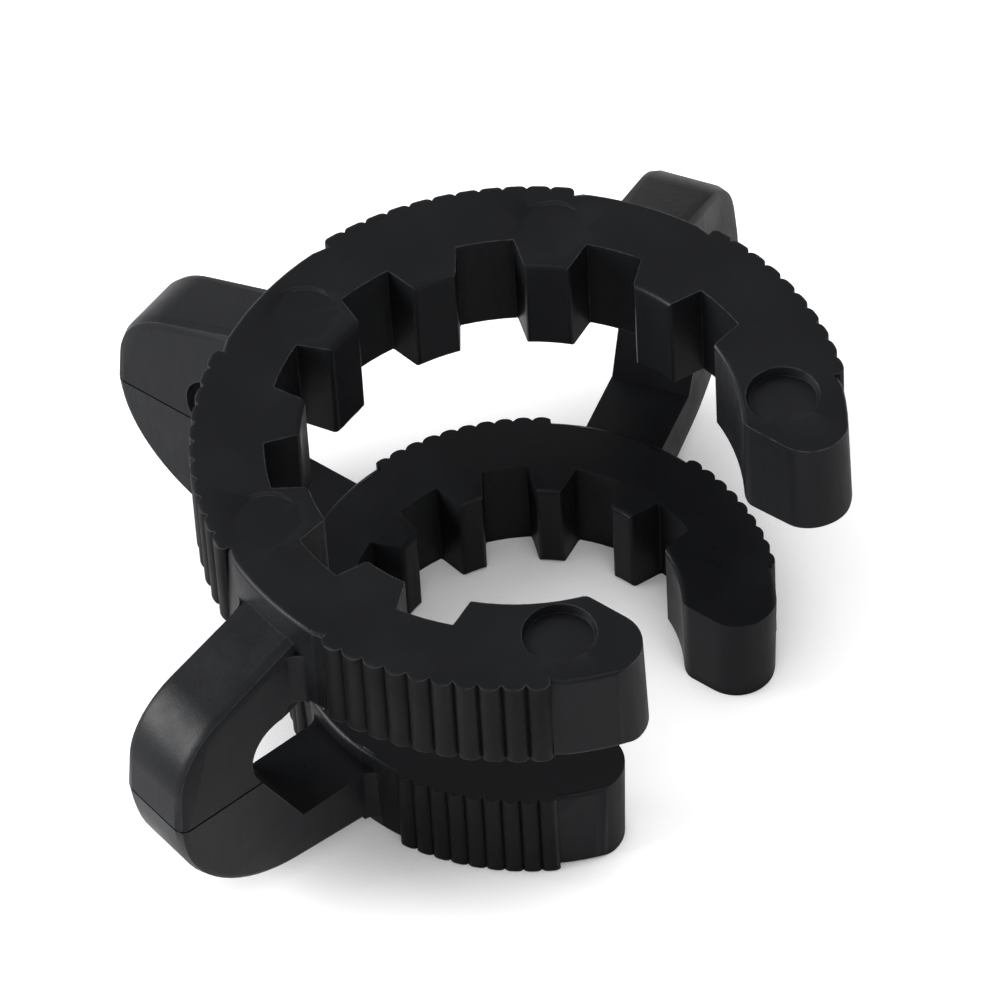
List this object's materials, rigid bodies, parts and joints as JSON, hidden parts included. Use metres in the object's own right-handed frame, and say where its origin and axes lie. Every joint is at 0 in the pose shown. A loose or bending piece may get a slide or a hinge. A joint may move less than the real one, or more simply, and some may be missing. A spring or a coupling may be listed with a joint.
{
  "type": "ground glass joint clip",
  "caption": "One-piece plastic spring clip: a wide and a narrow open ring with inner teeth, held apart by bow arms, that locks a ground glass joint.",
  "frame": {"origin": "on the joint's axis, level with the underside of the narrow tube ring", "axes": "+Z along the joint's axis towards the wide socket ring, +X out of the rings' mouths, +Y across, on the mirror plane's left"},
  "size_m": [0.03, 0.0376, 0.0151],
  "materials": {
    "plastic": "satin"
  },
  "bodies": {
    "root": {"clip": "plastic"}
  },
  "joints": []
}
